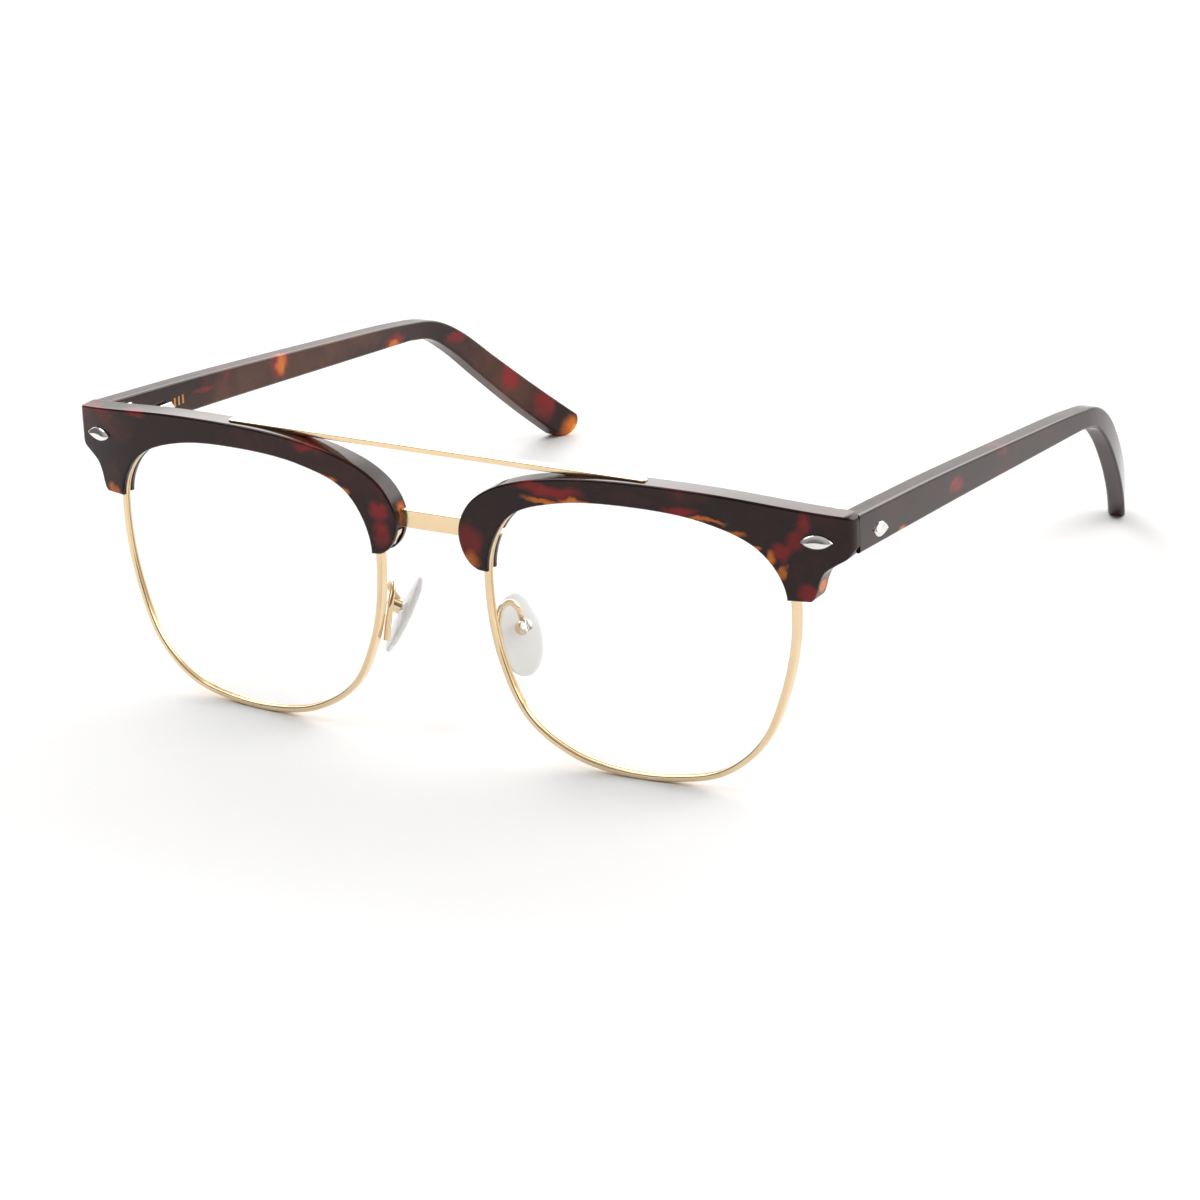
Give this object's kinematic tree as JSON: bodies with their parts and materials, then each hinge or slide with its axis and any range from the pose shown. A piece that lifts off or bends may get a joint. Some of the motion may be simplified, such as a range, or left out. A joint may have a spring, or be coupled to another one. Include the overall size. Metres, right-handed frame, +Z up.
{
  "type": "half rim eyeglasses",
  "caption": "Browline eyeglasses with tortoiseshell brows over thin gold rims, a flat lower bridge, a straight top bar, clear lenses, rocking nose pads and folding temples.",
  "frame": {"origin": "centre of the bounding box's base, on the surface that the open glasses stand on", "axes": "+X to the viewer's right of someone facing the glasses, +Y from the front towards the temple tips, +Z up"},
  "size_m": [0.145, 0.143, 0.05],
  "materials": {
    "tortoise_acetate": "polished cellulose acetate, near black with deep red and amber clouds",
    "gold_metal": "satin pale gold plating on metal",
    "silver_metal": "polished steel",
    "lens": "clear, colourless, coated",
    "pad_silicone": "clear silicone, slightly cloudy"
  },
  "bodies": {
    "front": {"brow_right": "tortoise_acetate", "brow_left": "tortoise_acetate", "eyewire_right": "gold_metal", "eyewire_left": "gold_metal", "lens_right": "lens", "lens_left": "lens", "lower_bridge": "gold_metal", "top_bar": "gold_metal", "rim_lock_right": "gold_metal", "rim_lock_left": "gold_metal", "rim_screw_right": "silver_metal", "rim_screw_left": "silver_metal", "brow_screw_right": "silver_metal", "brow_screw_left": "silver_metal", "front_rivet_right": "silver_metal", "front_rivet_left": "silver_metal", "front_hinge_right": "silver_metal", "front_hinge_left": "silver_metal", "hinge_screw_right": "silver_metal", "hinge_screw_left": "silver_metal", "pad_arm_right": "gold_metal", "pad_arm_left": "gold_metal", "pad_screw_right": "silver_metal", "pad_screw_left": "silver_metal"},
    "temple_right": {"temple_right": "tortoise_acetate", "temple_core_right": "silver_metal", "temple_hinge_right": "silver_metal", "temple_rivet_right": "silver_metal"},
    "nose_pad_right": {"nose_pad_right": "pad_silicone"},
    "temple_left": {"temple_left": "tortoise_acetate", "temple_core_left": "silver_metal", "temple_hinge_left": "silver_metal", "temple_rivet_left": "silver_metal"},
    "nose_pad_left": {"nose_pad_left": "pad_silicone"}
  },
  "joints": [
    {"name": "temple_right_fold", "type": "hinge", "parent": "front", "child": "temple_right", "pos_m": [0.0666, -0.06008, 0.04306], "axis": [0, 0.0166, 0.9999], "range_deg": [0, 88]},
    {"name": "temple_left_fold", "type": "hinge", "parent": "front", "child": "temple_left", "pos_m": [-0.0666, -0.06008, 0.04306], "axis": [0, -0.0166, -0.9999], "range_deg": [0, 80]},
    {"name": "nose_pad_right_rock", "type": "hinge", "parent": "front", "child": "nose_pad_right", "pos_m": [0.01156, -0.06277, 0.01936], "axis": [0.5989, 0.7958, -0.0903], "range_deg": [-8, 8]},
    {"name": "nose_pad_left_rock", "type": "hinge", "parent": "front", "child": "nose_pad_left", "pos_m": [-0.01156, -0.06277, 0.01936], "axis": [0.5989, -0.7958, 0.0903], "range_deg": [-8, 8]}
  ]
}
